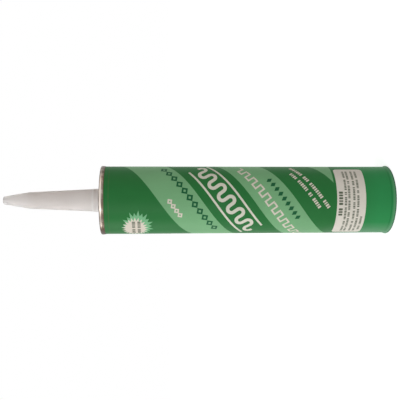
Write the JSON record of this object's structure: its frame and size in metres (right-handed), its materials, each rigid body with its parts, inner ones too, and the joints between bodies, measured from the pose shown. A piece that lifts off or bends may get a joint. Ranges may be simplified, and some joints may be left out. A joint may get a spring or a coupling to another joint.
{
  "type": "caulk tube",
  "caption": "Sealant cartridge for a caulking gun: striped paperboard tube with a seamed tinplate end, a tapered closed nozzle and a sliding rear plunger.",
  "frame": {"origin": "centre of the rear rim, at the plane that the cartridge stands on", "axes": "+Z along the cartridge to the nozzle tip; the front of the label faces -Y"},
  "size_m": [0.0511, 0.0514, 0.2842],
  "materials": {
    "paperboard": "plain wound board, matt",
    "label_green": "printed paper wrap, satin varnish",
    "light_green_ink": "printed field, satin varnish",
    "cream_ink": "printed field, satin varnish",
    "tinplate": "bright tinplate, lightly dulled",
    "nozzle_plastic": "natural polyethylene, satin",
    "foil": "bright foil",
    "sealant_paste": "smooth paste",
    "plunger_plastic": "natural polyethylene, satin"
  },
  "bodies": {
    "cartridge": {"tube": "paperboard", "label": "label_green", "front_end": "tinplate", "nozzle": "nozzle_plastic", "pierce_seal": "foil", "sealant": "sealant_paste", "stripe_front": "light_green_ink", "stripe_middle": "light_green_ink", "stripe_rear": "light_green_ink", "text_panel": "cream_ink", "ornament_bead": "cream_ink", "ornament_rules": "cream_ink", "starburst": "cream_ink", "starburst_backing": "light_green_ink"},
    "plunger": {"plunger": "plunger_plastic"}
  },
  "joints": [
    {"name": "plunger_slide", "type": "slide", "parent": "cartridge", "child": "plunger", "axis": [0, 0, 1], "range_m": [0, 0.1815], "deforming": ["sealant"]}
  ]
}
